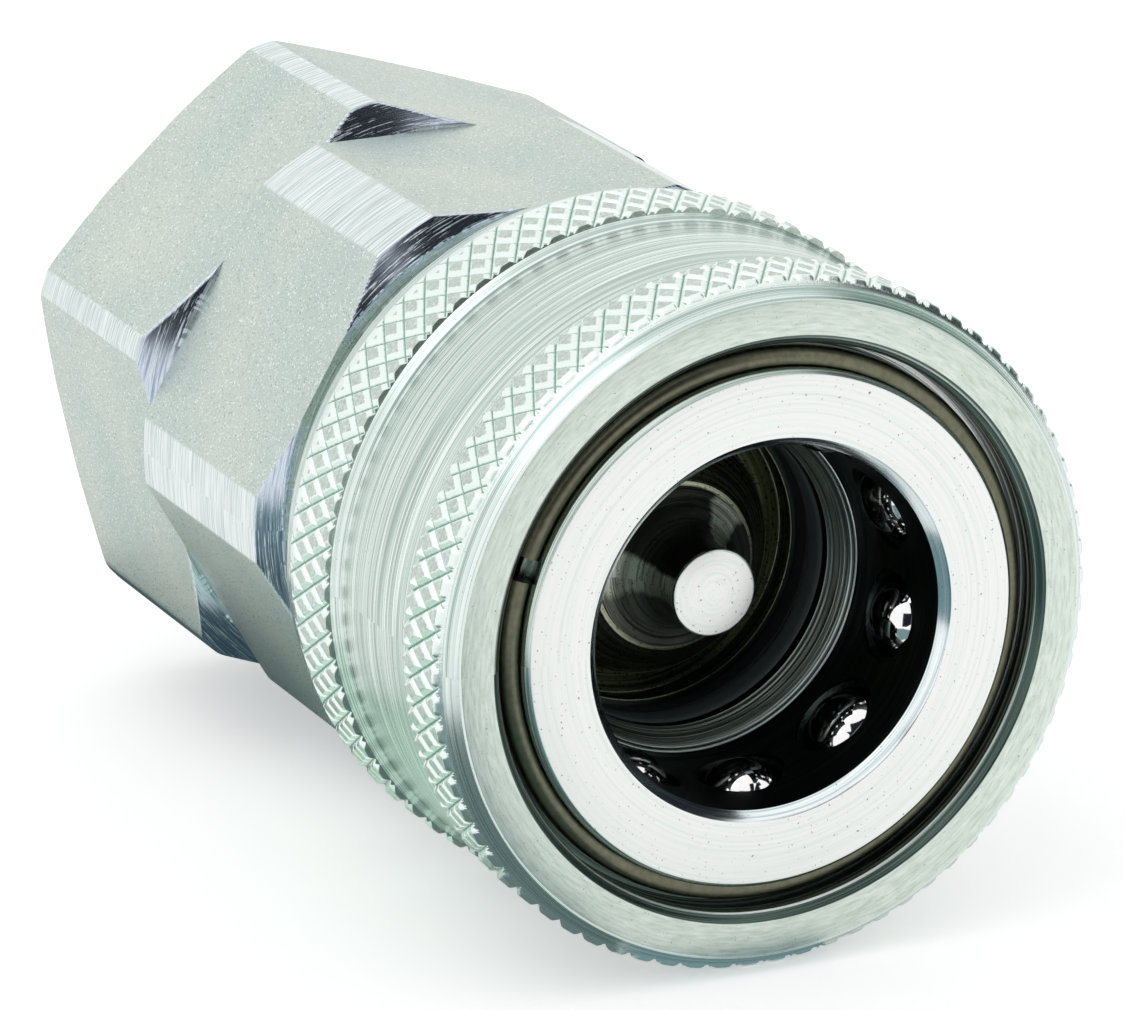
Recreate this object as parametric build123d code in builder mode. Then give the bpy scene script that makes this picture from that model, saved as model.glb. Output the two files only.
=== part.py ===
"""Female quick disconnect coupler: knurled pull-back sleeve, ball lock, poppet valve, threaded rear port.

The axis of the coupler is X. The plug comes in from +X. The origin is the centre of the nose's front face.
Profiles are drawn as (x, radius) in the XY plane and turned round the X axis.
"""

import os
from math import cos, radians, sin, sqrt, tan

from build123d import *

# ---- sizes that are set by themselves, in millimetres and degrees ----
bore_d = 20.6  # bore that takes the plug
mouth_chamfer = 0.55  # lead-in round the bore
nose_edge = 0.25  # chamfer round the nose's front face

spring_room = 2.15  # radial room for the sleeve's spring, from the nose to the sleeve's skirt
skirt_wall = 2.85  # sleeve's wall round the spring, up to the knurl's crest
sleeve_proud = 0.2  # sleeve's front face ahead of the nose's
sleeve_edge = 1.1  # radial height of the convex front edge
sleeve_round = 1.3  # length of the convex front edge
edge_slope = 0.5  # how far the edge leans forward where it leaves the front face
front_knurl_width = 3.9
groove_width = 10.5
groove_depth = 0.7
groove_fillet = 0.6
rear_knurl_width = 4.2
sleeve_tail = 2.8  # plain rear edge behind the rear knurl
sleeve_tail_drop = 0.55
sleeve_tail_fillet = 0.5
sleeve_mouth_gap = 0.4  # radial gap from the retaining ring to the sleeve's counterbore
sleeve_mouth_chamfer = 0.5
sleeve_gap = 0.05  # radial running clearance on the nose
sleeve_travel = 4.2
land_length = 3.6  # from the balls' centres back to the end of the land that they rest under
collar_gap = 0.10  # radial clearance between the sleeve's skirt and the collar
collar_overlap = 1.5  # how far the skirt covers the collar
collar_edge = 0.3

ring_depth = 0.8  # nose face to the retaining ring
ring_width = 1.6
ring_bite = 0.35  # ring below the nose's surface
ring_height = 1.4
ring_fillet = 0.3
ring_gap_angle = 5.0  # opening of the split ring
ring_gap_at = 160.0  # where the split is, from +Y towards +Z
ring_clearance = 0.05

ball_count = 10
ball_d = 5.2
ball_neck_d = 4.7  # opening in the bore that keeps the balls in
ball_wall = 0.8  # metal between the retaining ring and the balls
ball_bite = 0.88  # how far a locked ball stands into the bore
ball_first_at = 23.2  # angle of the first ball, from +Y towards +Z
ball_gap = 0.03
ball_hole_gap = 0.05
ball_margin = 0.05  # how far a released ball clears the bore

step_wall = 0.5  # bore between the balls and the cone that stops the plug
step_length = 2.4
step_height = 1.35  # radial height of that cone
throat_length = 0.6  # short bore between the cone and the mouth seal's groove
gland_width = 3.3
gland_wall = 2.4  # groove's depth outside the throat
seal_width = 1.85
seal_lip = 0.08  # how far the mouth seal stands into the throat
seal_fillet = 0.4
seal_side_gap = 0.05
gland_rib_height = 0.3  # radial height, above the throat, of the rib between gland and seat
gland_rib = 1.4  # length of that rib

seat_length = 4.0
seat_shoulder = 1.25  # radial height of the shoulder that the seat stands against
seat_wall = 2.45  # from the bore that holds the seat to the seat's hole
seat_mouth_length = 1.5
seat_cone_length = 1.6  # 45 degree cone that the valve closes on
seat_gap = 0.02
seat_ring_wire = 1.15
seat_ring_gap = 0.03
seat_ring_wall = 1.3  # seat's front face to its seal
circlip_width = 1.0
circlip_bite = 0.85
circlip_wall = 1.6
circlip_gap_angle = 40.0

tip_reach = 9.45  # poppet's tip ahead of the seat
tip_d = 5.0
tip_edge = 0.15
tip_length = 1.7
flare_foot_d = 9.2
flare_length = 3.2
flare_step = 0.25
face_length = 2.8
head_gap = 0.35  # head to the seat's hole
flange_gap = 1.3  # radial gap from the poppet's flange to the bore that holds the seat
flange_length = 2.0
poppet_wire = 1.4  # poppet seal's section
poppet_seal_gap = 0.03
poppet_groove_gap = 0.02  # room round the poppet's seal in its groove
poppet_seal_wall = 0.05  # from the start of the seat's cone to the poppet's seal
stem_d = 5.0
stem_gap = 0.06
stem_below = 3.0  # stem behind the guide's hub
valve_travel = 6.0

spigot_length = 7.2  # from the joint of the hexagons to the valve guide
guide_thickness = 2.0
guide_shoulder = 1.1  # radial height from the valve guide's rim to the thread
guide_rim_wall = 1.9
guide_pocket_gap = 0.05
guide_sink = 0.2  # how far the legs run into the rim
guide_legs = 4
guide_leg_width = 2.2
guide_hub_d = 8.0
guide_cup_d = 12.4  # flange that carries the valve spring
guide_cup_thickness = 1.0
guide_hub_below = 1.6
valve_wire = 1.1
valve_spring_d = 9.8  # mean diameter
valve_turns = 4.5
spring_seat_gap = 0.05

sleeve_wire = 1.5
sleeve_turns = 3.5
sleeve_spring_gap = 0.3  # spring to the pocket's wall

flat_height = 0.35  # radial height of both hexagons' flats above the collar
hex_clear = 0.3  # room left behind the sleeve when it is pulled back
front_hex_length = 17.2
turned_height = 1.6  # radial height of the body's turned corners above its flats
front_face_height = 0.2  # radial height, above the flats, at which the body's front chamfer starts
front_hex_angle = 0.0  # a corner of the body's hexagon, from +Y towards +Z
rear_hex_length = 17.3
rear_face_height = 0.3  # radial height, above the flats, at which the adapter's chamfers start
rear_hex_angle = 42.5
hex_chamfer_angle = 30.0
body_rear_chamfer = 0.3

thread_d = 26.0  # thread that joins adapter and body
thread_gap = 0.04
spigot_chamfer = 0.5
body_seal_wire = 1.6
body_seal_width = 2.0
body_seal_gap = 0.03
body_seal_wall = 0.4  # from the joint of the hexagons to the seal's groove
port_d = 21.2  # rear port, over the pipe thread's roots
port_depth = 14.0
port_chamfer = 0.9
port_cone = 1.6
passage_d = 17.0

overrun = 1.0  # how far a cutting or joining shape runs past the face that it crosses

# ---- radii and places worked out from the sizes above ----
bore_r = bore_d / 2
ball_r = ball_d / 2
ball_centre_r = bore_r - ball_bite + ball_r
land_r = ball_centre_r + ball_r + ball_gap
nose_r = land_r - sleeve_gap
pocket_r = nose_r + spring_room
sleeve_r = pocket_r + skirt_wall
sleeve_face_r = sleeve_r - sleeve_edge
collar_r = pocket_r - collar_gap
groove_r = sleeve_r - groove_depth
throat_r = bore_r - step_height

sleeve_front = sleeve_proud
knurl_1_front = sleeve_front - sleeve_round
knurl_1_rear = knurl_1_front - front_knurl_width
knurl_2_front = knurl_1_rear - groove_width
knurl_2_rear = knurl_2_front - rear_knurl_width
sleeve_rear = knurl_2_rear - sleeve_tail
collar_front = sleeve_rear + collar_overlap
hex_front = sleeve_rear - sleeve_travel - hex_clear
hex_joint = hex_front - front_hex_length
adapter_rear = hex_joint - rear_hex_length

ring_inner_r = nose_r - ring_bite
sleeve_mouth_r = ring_inner_r + ring_height + sleeve_mouth_gap
ring_rear = -ring_depth - ring_width

ball_x = ring_rear - ball_wall - ball_r
ball_lift = ball_bite + ball_margin
lift_ratio = ball_lift / sleeve_travel  # radial ball travel for each millimetre of sleeve
ball_floor_r = ball_centre_r - sqrt(ball_r**2 - (ball_neck_d / 2) ** 2) - ball_gap
ball_angles = [ball_first_at + 360 / ball_count * k for k in range(ball_count)]


def ramp_r(x):
    """Radius of the sleeve's release ramp, clear of a ball that rises as the sleeve comes back."""
    return ball_centre_r + lift_ratio * (x - ball_x) + ball_r * sqrt(1 + lift_ratio**2) + ball_gap


ramp_start = ball_x + (land_r - ramp_r(ball_x)) / lift_ratio
land_rear = ball_x - land_length
step_front = ball_x - ball_r - step_wall
step_rear = step_front - step_length
gland_front = step_rear - throat_length
gland_rear = gland_front - gland_width
gland_r = throat_r + gland_wall
rib_r = throat_r - gland_rib_height
seat_front = gland_rear - gland_rib
seat_rear = seat_front - seat_length
seat_bore_r = rib_r + seat_shoulder
seat_hole_r = seat_bore_r - seat_wall
seat_r = seat_bore_r - seat_gap
thread_r = thread_d / 2
guide_rear = hex_joint + spigot_length
guide_front = guide_rear + guide_thickness
guide_rim_r = thread_r - guide_shoulder
port_front = adapter_rear + port_depth
flats_r = collar_r + flat_height
corner_r = flats_r / cos(radians(30))
past_corner_r = corner_r + overrun
chamfer_slope = tan(radians(hex_chamfer_angle))

os.makedirs("parts", exist_ok=True)


# ---- body: barrel with the ball cage, collar, hexagon with turned corners ----
hex_face_r = flats_r + front_face_height
turned_r = flats_r + turned_height
turned_front = hex_front - (turned_r - hex_face_r) * chamfer_slope
circlip_rear = seat_rear - circlip_width - 2 * seat_gap
guide_pocket_r = guide_rim_r + guide_pocket_gap

with BuildPart() as body:
    with BuildSketch(Plane.YZ.offset(hex_joint)):
        RegularPolygon(flats_r, 6, major_radius=False, rotation=front_hex_angle)
    extrude(amount=front_hex_length)
    with BuildSketch(Plane.XY):
        with BuildLine():
            Polyline(
                (hex_front, 0),
                (hex_front, hex_face_r),
                (turned_front, turned_r),
                (hex_joint + body_rear_chamfer, turned_r),
                (hex_joint, turned_r - body_rear_chamfer),
                (hex_joint, 0),
                close=True,
            )
        make_face()
    revolve(axis=Axis.X, mode=Mode.INTERSECT)
    with BuildSketch(Plane.XY):
        with BuildLine():
            Polyline(
                (0, 0),
                (0, nose_r - nose_edge),
                (-nose_edge, nose_r),
                (-ring_depth + ring_clearance, nose_r),
                (-ring_depth + ring_clearance, ring_inner_r - ring_clearance),
                (ring_rear - ring_clearance, ring_inner_r - ring_clearance),
                (ring_rear - ring_clearance, nose_r),
                (collar_front, nose_r),
                (collar_front, collar_r - collar_edge),
                (collar_front - collar_edge, collar_r),
                (hex_front - overrun, collar_r),
                (hex_front - overrun, 0),
                close=True,
            )
        make_face()
    revolve(axis=Axis.X)
    with BuildSketch(Plane.XY):
        with BuildLine():
            Polyline(
                (overrun, 0),
                (overrun, bore_r + mouth_chamfer),
                (0, bore_r + mouth_chamfer),
                (-mouth_chamfer, bore_r),
                (step_front, bore_r),
                (step_rear, throat_r),
                (gland_front, throat_r),
                (gland_front, gland_r),
                (gland_rear, gland_r),
                (gland_rear, rib_r),
                (seat_front, rib_r),
                (seat_front, seat_bore_r),
                (seat_rear - seat_gap, seat_bore_r),
                (seat_rear - seat_gap, seat_bore_r + circlip_bite),
                (circlip_rear, seat_bore_r + circlip_bite),
                (circlip_rear, seat_bore_r),
                (guide_front, seat_bore_r),
                (guide_front, guide_pocket_r),
                (guide_rear, guide_pocket_r),
                (guide_rear, thread_r),
                (hex_joint - overrun, thread_r),
                (hex_joint - overrun, 0),
                close=True,
            )
        make_face()
    revolve(axis=Axis.X, mode=Mode.SUBTRACT)
    for angle in ball_angles:
        across = Plane(
            origin=(ball_x, 0, 0),
            x_dir=(1, 0, 0),
            z_dir=(0, cos(radians(angle)), sin(radians(angle))),
        )
        with BuildSketch(across.offset(bore_r / 2)):
            Circle(ball_neck_d / 2)
        extrude(amount=nose_r, mode=Mode.SUBTRACT)
        with BuildSketch(across.offset(ball_floor_r)):
            Circle(ball_r + ball_hole_gap)
        extrude(amount=nose_r, mode=Mode.SUBTRACT)
body.part.label = "body"
export_step(body.part, "parts/body.step")


# ---- adapter: rear hexagon, threaded spigot, pipe port ----
rear_face_r = flats_r + rear_face_height
spigot_r = thread_r - thread_gap
chamfer_run = (past_corner_r - rear_face_r) * chamfer_slope
passage_r = passage_d / 2
port_r = port_d / 2
body_seal_rear = hex_joint + body_seal_wall
body_seal_front = body_seal_rear + body_seal_width
body_seal_floor = thread_r - body_seal_wire - body_seal_gap

with BuildPart() as adapter:
    with BuildSketch(Plane.YZ.offset(adapter_rear)):
        RegularPolygon(flats_r, 6, major_radius=False, rotation=rear_hex_angle)
    extrude(amount=rear_hex_length)
    with BuildSketch(Plane.XY):
        with BuildLine():
            Polyline(
                (hex_joint, 0),
                (hex_joint, rear_face_r),
                (hex_joint - chamfer_run, past_corner_r),
                (adapter_rear + chamfer_run, past_corner_r),
                (adapter_rear, rear_face_r),
                (adapter_rear, 0),
                close=True,
            )
        make_face()
    revolve(axis=Axis.X, mode=Mode.INTERSECT)
    with BuildSketch(Plane.XY):
        with BuildLine():
            Polyline(
                (guide_rear, 0),
                (guide_rear, spigot_r - spigot_chamfer),
                (guide_rear - spigot_chamfer, spigot_r),
                (body_seal_front, spigot_r),
                (body_seal_front, body_seal_floor),
                (body_seal_rear, body_seal_floor),
                (body_seal_rear, spigot_r),
                (hex_joint - overrun, spigot_r),
                (hex_joint - overrun, 0),
                close=True,
            )
        make_face()
    revolve(axis=Axis.X)
    with BuildSketch(Plane.XY):
        with BuildLine():
            Polyline(
                (guide_rear + overrun, 0),
                (guide_rear + overrun, passage_r),
                (port_front + port_cone, passage_r),
                (port_front, port_r),
                (adapter_rear + port_chamfer, port_r),
                (adapter_rear, port_r + port_chamfer),
                (adapter_rear - overrun, port_r + port_chamfer),
                (adapter_rear - overrun, 0),
                close=True,
            )
        make_face()
    revolve(axis=Axis.X, mode=Mode.SUBTRACT)
adapter.part.label = "adapter"
export_step(adapter.part, "parts/adapter.step")

with BuildPart() as body_seal:
    with BuildSketch(Plane.XY):
        with Locations(((body_seal_rear + body_seal_front) / 2, body_seal_floor + body_seal_wire / 2)):
            Circle(body_seal_wire / 2)
    revolve(axis=Axis.X)
body_seal.part.label = "body_seal"
export_step(body_seal.part, "parts/body_seal.step")


# ---- sleeve: two knurled bands, plain groove, release ramp, spring pocket ----
stop_x = ring_rear - ring_clearance / 2
tail_r = sleeve_r - sleeve_tail_drop

with BuildPart() as sleeve:
    with BuildSketch(Plane.XY):
        with BuildLine():
            Line((sleeve_front, sleeve_mouth_r + sleeve_mouth_chamfer), (sleeve_front, sleeve_face_r))
            TangentArc(
                (sleeve_front, sleeve_face_r),
                (knurl_1_front, sleeve_r),
                tangent=(-edge_slope, 1),
            )
            Line((knurl_1_front, sleeve_r), (knurl_1_rear, sleeve_r))
            Line((knurl_1_rear, sleeve_r), (knurl_1_rear, groove_r))
            Line((knurl_1_rear, groove_r), (knurl_2_front + groove_fillet, groove_r))
            RadiusArc(
                (knurl_2_front + groove_fillet, groove_r),
                (knurl_2_front, groove_r + groove_fillet),
                -groove_fillet,
            )
            Line((knurl_2_front, groove_r + groove_fillet), (knurl_2_front, sleeve_r))
            Line((knurl_2_front, sleeve_r), (knurl_2_rear, sleeve_r))
            Line((knurl_2_rear, sleeve_r), (sleeve_rear + sleeve_tail_fillet, tail_r))
            Polyline(
                (sleeve_rear + sleeve_tail_fillet, tail_r),
                (sleeve_rear, tail_r - sleeve_tail_fillet),
                (sleeve_rear, pocket_r),
                (land_rear, pocket_r),
                (land_rear, land_r),
                (ramp_start, land_r),
                (stop_x, ramp_r(stop_x)),
                (stop_x, sleeve_mouth_r),
                (sleeve_front - sleeve_mouth_chamfer, sleeve_mouth_r),
                (sleeve_front, sleeve_mouth_r + sleeve_mouth_chamfer),
            )
        make_face()
    revolve(axis=Axis.X)
sleeve.part.label = "sleeve"
export_step(sleeve.part, "parts/sleeve.step")


# ---- retaining ring: split ring in the nose, the sleeve's front stop ----
with BuildPart() as retaining_ring:
    with BuildSketch(Plane.XY.rotated((ring_gap_at + ring_gap_angle / 2, 0, 0))):
        with Locations((ring_rear + ring_width / 2, ring_inner_r + ring_height / 2)):
            RectangleRounded(ring_width, ring_height, ring_fillet)
    revolve(axis=Axis.X, revolution_arc=360 - ring_gap_angle)
retaining_ring.part.label = "retaining_ring"
export_step(retaining_ring.part, "parts/retaining_ring.step")


# ---- balls: each its own piece, because each has its own travel ----
for number, angle in enumerate(ball_angles, start=1):
    with BuildPart() as ball:
        with Locations((ball_x, ball_centre_r * cos(radians(angle)), ball_centre_r * sin(radians(angle)))):
            Sphere(ball_r)
    ball.part.label = f"ball_{number:02d}"
    export_step(ball.part, f"parts/ball_{number:02d}.step")


# ---- sleeve spring: from the sleeve's shoulder back to the collar ----
sleeve_spring_r = pocket_r - sleeve_spring_gap - sleeve_wire / 2
sleeve_spring_front = land_rear - spring_seat_gap - sleeve_wire / 2
sleeve_spring_rear = collar_front + spring_seat_gap + sleeve_wire / 2
sleeve_spring_length = sleeve_spring_front - sleeve_spring_rear

with BuildPart() as sleeve_spring:
    with BuildLine() as coil:
        Helix(
            sleeve_spring_length / sleeve_turns,
            sleeve_spring_length,
            sleeve_spring_r,
            center=(sleeve_spring_rear, 0, 0),
            direction=(1, 0, 0),
        )
    with BuildSketch(Plane(origin=coil.wires()[0] @ 0, z_dir=coil.wires()[0] % 0)):
        Circle(sleeve_wire / 2)
    sweep(path=coil.wires()[0], is_frenet=True)
sleeve_spring.part.label = "sleeve_spring"
export_step(sleeve_spring.part, "parts/sleeve_spring.step")


# ---- mouth seal and the ring that backs it ----
seal_front = gland_front - seal_side_gap
seal_rear = seal_front - seal_width
seal_inner_r = throat_r - seal_lip
backup_front = seal_rear - seal_side_gap
backup_rear = gland_rear + seal_side_gap

with BuildPart() as mouth_seal:
    with BuildSketch(Plane.XY):
        with Locations(((seal_front + seal_rear) / 2, (seal_inner_r + gland_r - seal_side_gap) / 2)):
            RectangleRounded(seal_width, gland_r - seal_side_gap - seal_inner_r, seal_fillet)
    revolve(axis=Axis.X)
mouth_seal.part.label = "mouth_seal"
export_step(mouth_seal.part, "parts/mouth_seal.step")

with BuildPart() as backup_ring:
    with BuildSketch(Plane.XY):
        with Locations(((backup_front + backup_rear) / 2, (throat_r + gland_r) / 2)):
            Rectangle(backup_front - backup_rear, gland_r - throat_r - 2 * seal_side_gap)
    revolve(axis=Axis.X)
backup_ring.part.label = "backup_ring"
export_step(backup_ring.part, "parts/backup_ring.step")


# ---- seat: pressed-in ring that the poppet closes on, with its seal and circlip ----
seat_cone_front = seat_rear + seat_cone_length
seat_cone_r = seat_hole_r + seat_cone_length
seat_ring_floor = seat_bore_r - seat_ring_wire - seat_ring_gap
seat_ring_x = seat_front - seat_ring_wall - seat_ring_wire / 2

with BuildPart() as seat:
    with BuildSketch(Plane.XY):
        with BuildLine():
            Polyline(
                (seat_front - seat_gap, rib_r),
                (seat_front - seat_mouth_length, seat_hole_r),
                (seat_cone_front, seat_hole_r),
                (seat_rear, seat_cone_r),
                (seat_rear, seat_r),
                (seat_ring_x - seat_ring_wire / 2 - seat_ring_gap, seat_r),
                (seat_ring_x - seat_ring_wire / 2 - seat_ring_gap, seat_ring_floor),
                (seat_ring_x + seat_ring_wire / 2 + seat_ring_gap, seat_ring_floor),
                (seat_ring_x + seat_ring_wire / 2 + seat_ring_gap, seat_r),
                (seat_front - seat_gap, seat_r),
                close=True,
            )
        make_face()
    revolve(axis=Axis.X)
seat.part.label = "seat"
export_step(seat.part, "parts/seat.step")

with BuildPart() as seat_seal:
    with BuildSketch(Plane.XY):
        with Locations((seat_ring_x, seat_ring_floor + seat_ring_wire / 2 + seat_ring_gap / 2)):
            Circle(seat_ring_wire / 2)
    revolve(axis=Axis.X)
seat_seal.part.label = "seat_seal"
export_step(seat_seal.part, "parts/seat_seal.step")

circlip_outer_r = seat_bore_r + circlip_bite - seat_ring_gap
with BuildPart() as seat_circlip:
    with BuildSketch(Plane.XY):
        with Locations((seat_rear - 2 * seat_gap - circlip_width / 2, circlip_outer_r - circlip_wall / 2)):
            Rectangle(circlip_width, circlip_wall)
    revolve(axis=Axis.X, revolution_arc=360 - circlip_gap_angle)
seat_circlip.part.label = "seat_circlip"
export_step(seat_circlip.part, "parts/seat_circlip.step")


# ---- poppet: tip, flared face, head, flange and stem ----
tip_front = seat_front + tip_reach
tip_r = tip_d / 2
flare_r = flare_foot_d / 2
head_r = seat_hole_r - head_gap
stem_r = stem_d / 2
flare_front = tip_front - tip_length
flare_rear = flare_front - flare_length
face_rear = flare_rear - flare_step - face_length
flange_r = seat_bore_r - flange_gap
cone_rear = seat_cone_front - (flange_r - head_r)
flange_rear = cone_rear - flange_length
poppet_ring_x = seat_cone_front - poppet_wire / 2 - poppet_seal_wall
line_r = seat_hole_r + seat_cone_front - poppet_ring_x
poppet_ring_r = line_r - (poppet_wire / 2 + poppet_seal_gap) * sqrt(2)
groove_half = poppet_wire / 2 + poppet_groove_gap
groove_floor = poppet_ring_r - groove_half
stem_rear = guide_rear - guide_hub_below - stem_below

with BuildPart() as poppet:
    with BuildSketch(Plane.XY):
        with BuildLine():
            Polyline((stem_rear, 0), (tip_front, 0), (tip_front, tip_r - tip_edge))
            Line((tip_front, tip_r - tip_edge), (tip_front - tip_edge, tip_r))
            Line((tip_front - tip_edge, tip_r), (flare_front, tip_r - tip_edge))
            TangentArc((flare_front, tip_r - tip_edge), (flare_rear, flare_r), tangent=(-1, 0))
            Polyline(
                (flare_rear, flare_r),
                (flare_rear - flare_step, flare_r),
                (flare_rear - flare_step, flare_r + flare_step),
                (face_rear, head_r),
                (poppet_ring_x + groove_half, head_r),
                (poppet_ring_x + groove_half, groove_floor),
                (poppet_ring_x - groove_half, groove_floor),
                (poppet_ring_x - groove_half, head_r + seat_cone_front - poppet_ring_x + groove_half),
                (cone_rear, flange_r),
                (flange_rear, flange_r),
                (flange_rear, stem_r),
                (stem_rear, stem_r),
                (stem_rear, 0),
            )
        make_face()
    revolve(axis=Axis.X)
poppet.part.label = "poppet"
export_step(poppet.part, "parts/poppet.step")

with BuildPart() as poppet_seal:
    with BuildSketch(Plane.XY):
        with Locations((poppet_ring_x, poppet_ring_r)):
            Circle(poppet_wire / 2)
    revolve(axis=Axis.X)
poppet_seal.part.label = "poppet_seal"
export_step(poppet_seal.part, "parts/poppet_seal.step")


# ---- valve guide: rim, legs and hub that centre the stem ----
rim_inner_r = guide_rim_r - guide_rim_wall
leg_length = rim_inner_r + guide_sink
hub_rear = guide_rear - guide_hub_below
cup_front = guide_front + guide_cup_thickness

with BuildPart() as valve_guide:
    with BuildSketch(Plane.YZ.offset(guide_rear)):
        Circle(guide_rim_r)
        Circle(rim_inner_r, mode=Mode.SUBTRACT)
        with PolarLocations(0, guide_legs):
            with Locations((leg_length / 2, 0)):
                Rectangle(leg_length, guide_leg_width)
    extrude(amount=guide_thickness)
    with BuildSketch(Plane.YZ.offset(hub_rear)):
        Circle(guide_hub_d / 2)
    extrude(amount=cup_front - hub_rear)
    with BuildSketch(Plane.YZ.offset(guide_front)):
        Circle(guide_cup_d / 2)
    extrude(amount=guide_cup_thickness)
    with BuildSketch(Plane.YZ.offset(hub_rear)):
        Circle(stem_r + stem_gap)
    extrude(amount=cup_front - hub_rear, mode=Mode.SUBTRACT)
valve_guide.part.label = "valve_guide"
export_step(valve_guide.part, "parts/valve_guide.step")


# ---- valve spring: round the stem, from the guide's cup to the poppet's flange ----
valve_spring_rear = cup_front + spring_seat_gap + valve_wire / 2
valve_spring_length = flange_rear - spring_seat_gap - valve_wire / 2 - valve_spring_rear

with BuildPart() as valve_spring:
    with BuildLine() as valve_coil:
        Helix(
            valve_spring_length / valve_turns,
            valve_spring_length,
            valve_spring_d / 2,
            center=(valve_spring_rear, 0, 0),
            direction=(1, 0, 0),
        )
    with BuildSketch(Plane(origin=valve_coil.wires()[0] @ 0, z_dir=valve_coil.wires()[0] % 0)):
        Circle(valve_wire / 2)
    sweep(path=valve_coil.wires()[0], is_frenet=True)
valve_spring.part.label = "valve_spring"
export_step(valve_spring.part, "parts/valve_spring.step")
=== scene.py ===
import math

import bmesh
import bpy
import numpy as np
from mathutils import Matrix, Vector


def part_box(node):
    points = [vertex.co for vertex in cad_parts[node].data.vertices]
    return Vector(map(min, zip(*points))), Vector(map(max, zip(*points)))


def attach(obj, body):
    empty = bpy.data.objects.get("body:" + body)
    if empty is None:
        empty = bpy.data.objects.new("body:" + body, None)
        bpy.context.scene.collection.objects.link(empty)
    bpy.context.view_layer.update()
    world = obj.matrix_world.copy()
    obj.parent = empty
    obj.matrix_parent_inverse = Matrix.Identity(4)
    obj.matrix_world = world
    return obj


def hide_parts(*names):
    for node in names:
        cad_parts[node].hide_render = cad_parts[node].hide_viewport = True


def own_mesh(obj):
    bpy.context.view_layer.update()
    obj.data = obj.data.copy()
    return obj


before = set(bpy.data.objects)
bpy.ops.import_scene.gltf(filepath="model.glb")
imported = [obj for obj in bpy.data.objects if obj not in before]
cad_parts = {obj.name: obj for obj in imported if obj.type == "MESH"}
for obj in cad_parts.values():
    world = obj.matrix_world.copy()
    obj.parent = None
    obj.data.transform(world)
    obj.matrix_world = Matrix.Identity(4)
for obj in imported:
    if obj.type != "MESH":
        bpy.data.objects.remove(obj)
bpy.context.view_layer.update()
mm = 0.001
turn = 2 * math.pi
print("frame loaded with", len(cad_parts), "nodes")


# measures taken from the frame, in millimetres

def lowX(node):
    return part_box(node)[0][0] / mm


def highX(node):
    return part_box(node)[1][0] / mm


def outerRadius(node):
    # a round node reaches as far up as its outer radius
    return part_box(node)[1][2] / mm


# shape tools

def roundedLoop(corners, steps=5):
    # a closed outline through (x, radius, fillet) corners: each fillet is an arc, sampled at
    # equal turns between the two points where it leaves the sides, which lie
    # fillet / tan(half corner) from the corner
    spots = np.array([c[:2] for c in corners], float)
    parts, marks = [], []
    for index, corner in enumerate(corners):
        here = spots[index]
        back = spots[index - 1] - here
        ahead = spots[(index + 1) % len(corners)] - here
        mark = corner[3] if len(corner) > 3 else 0
        if corner[2] <= 0:
            parts.append(here[None])
            marks += [mark]
            continue
        lengthBack, lengthAhead = np.linalg.norm(back), np.linalg.norm(ahead)
        back, ahead = back / lengthBack, ahead / lengthAhead
        half = math.acos(np.clip(back @ ahead, -1, 1)) / 2
        reach = min(corner[2] / math.tan(half), 0.45 * min(lengthBack, lengthAhead))
        radius = reach * math.tan(half)
        middle = here + (back + ahead) / np.linalg.norm(back + ahead) * radius / math.sin(half)
        share = np.linspace(0, 1, steps)[:, None]
        first, last = here + back * reach - middle, here + ahead * reach - middle
        span = math.pi - 2 * half
        arc = (np.sin((1 - share) * span) * first + np.sin(share * span) * last) / math.sin(span)
        parts.append(middle + arc)
        marks += [mark] * steps
    return np.vstack(parts), np.array(marks)


def ringsAt(x, r, angle):
    # (x, r * cos of angle, r * sin of angle) for every place along and every angle round the X axis
    return np.stack([x + 0 * r * angle, r * np.cos(angle), r * np.sin(angle)], axis=-1)


def spun(outline, columns, start=0.0, arc=turn, whole=True):
    # ring (i, j): outline point i turned round the X axis by start + arc * j / columns
    angle = start + arc * np.arange(columns + (0 if whole else 1)) / columns
    return ringsAt(outline[:, :1], outline[:, 1:2], angle)


def gridQuads(rows, columns, wrapRows, wrapColumns, first=0):
    # four corners of every cell of a rows x columns grid, wound so that an outline that runs
    # towards +X along the outside has its faces outwards
    i = np.arange(rows if wrapRows else rows - 1)[:, None]
    j = np.arange(columns if wrapColumns else columns - 1)[None, :]
    nextI, nextJ = (i + 1) % rows, (j + 1) % columns

    def cell(a, b):
        return (first + a * columns + b).ravel()

    return np.stack([cell(i, j), cell(i, nextJ), cell(nextI, nextJ), cell(nextI, j)], axis=1)


def bridge(firstA, countA, firstB, countB):
    # joins ring A to ring B in front of it: equal rings by quads cut in two, rings of n to 1 by fans,
    # where the coarse edge goes to the middle fine point
    if countA == countB:
        j = np.arange(countA)
        k = (j + 1) % countA
        return np.vstack([
            np.stack([firstA + j, firstA + k, firstB + k], axis=1),
            np.stack([firstA + j, firstB + k, firstB + j], axis=1),
        ])
    swap = countA > countB
    coarse, fine = (firstB, firstA) if swap else (firstA, firstB)
    few, many = min(countA, countB), max(countA, countB)
    ratio = many // few
    j = np.arange(few)
    nextJ = (j + 1) % few
    middle = ratio // 2
    fans = [np.stack([coarse + j, coarse + nextJ, fine + (j * ratio + middle) % many], axis=1)]
    for t in range(ratio):
        owner = j if t < middle else nextJ
        a, b = (j * ratio + t) % many, (j * ratio + t + 1) % many
        fans.append(np.stack([coarse + owner, fine + b, fine + a], axis=1))
    faces = np.vstack(fans)
    return faces[:, ::-1] if swap else faces


def newObject(name, data):
    made = bpy.data.objects.new(name, data)
    bpy.context.scene.collection.objects.link(made)
    return made


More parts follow.
